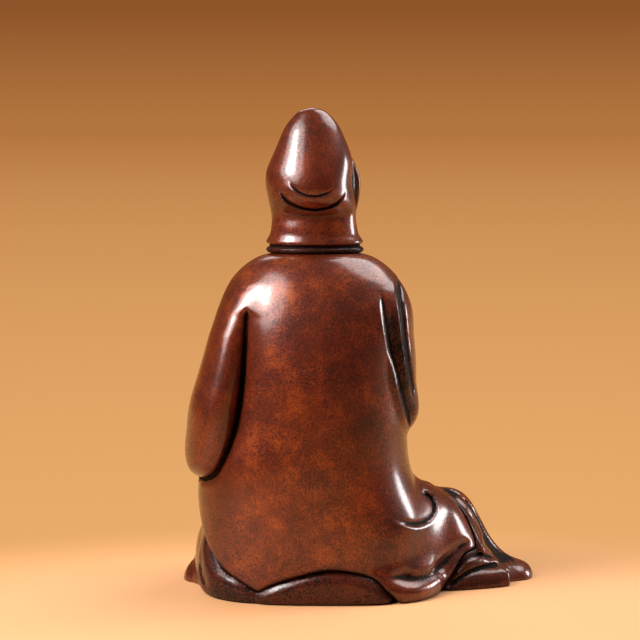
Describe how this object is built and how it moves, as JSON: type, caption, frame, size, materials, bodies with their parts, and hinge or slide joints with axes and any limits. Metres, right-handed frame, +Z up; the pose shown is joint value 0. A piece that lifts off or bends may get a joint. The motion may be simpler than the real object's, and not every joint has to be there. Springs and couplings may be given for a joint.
{
  "type": "seated robed figure ornament",
  "caption": "Seated hooded figure in cast bronze with a brown patina, its robe trailing to one side on the ground, seen from behind",
  "frame": {"origin": "on the ground plane, in the middle of the ornament's overall width and depth", "axes": "+Z up, +Y towards the figure's back, which is the side in the picture, +X towards the figure's left"},
  "size_m": [0.18, 0.1179, 0.24],
  "materials": {
    "bronze_cloak": "cast bronze with a waxed reddish brown patina",
    "bronze_robe": "cast bronze with a waxed reddish brown patina, darker in its folds",
    "bronze_hood": "cast bronze with a waxed reddish brown patina",
    "bronze_head": "cast bronze with a waxed brown patina",
    "bronze_skin": "cast bronze with a waxed brown patina",
    "brass_plate": "rolled plate, dulled brown",
    "brass_pin": "drawn wire, filed"
  },
  "bodies": {
    "root": {"cloak": "bronze_cloak", "lap_robe": "bronze_robe", "hood": "bronze_hood", "head": "bronze_head", "left_hand": "bronze_skin", "right_hand": "bronze_skin", "left_foot": "bronze_skin", "base_plate": "brass_plate", "neck_pin": "brass_pin", "wrist_pins": "brass_pin", "seam_pins": "brass_pin", "base_pins": "brass_pin"}
  },
  "joints": []
}
